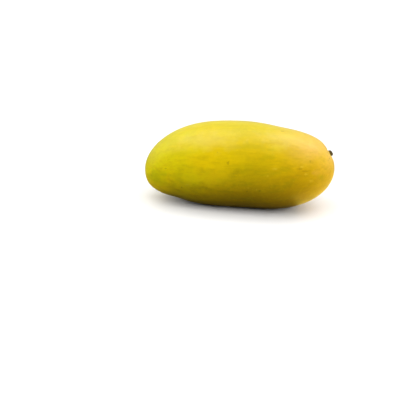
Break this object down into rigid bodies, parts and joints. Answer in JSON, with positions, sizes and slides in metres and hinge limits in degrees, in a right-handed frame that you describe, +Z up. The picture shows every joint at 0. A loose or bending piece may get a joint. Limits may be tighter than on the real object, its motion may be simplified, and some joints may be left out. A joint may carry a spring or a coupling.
{
  "type": "mango",
  "caption": "Whole ripe mango of a long, slim kind, yellow with a green-tinged beak end, lying on its side with the woody stub of its stem.",
  "frame": {"origin": "bottom centre of the whole part's box, on the small flat spot that the fruit rests on", "axes": "+Z up as it lies, +X along the fruit towards the stem end, -X towards the beak, +Y towards the fruit's back, which leans that way"},
  "size_m": [0.1494, 0.0642, 0.0673],
  "materials": {
    "skin": "smooth waxy fruit skin, satin, yellow turning green towards the beak and orange-tan towards the stem",
    "stem": "dry, rough, dark brown"
  },
  "bodies": {
    "root": {"mango_fruit": "skin", "stem_stub": "stem"}
  },
  "joints": []
}
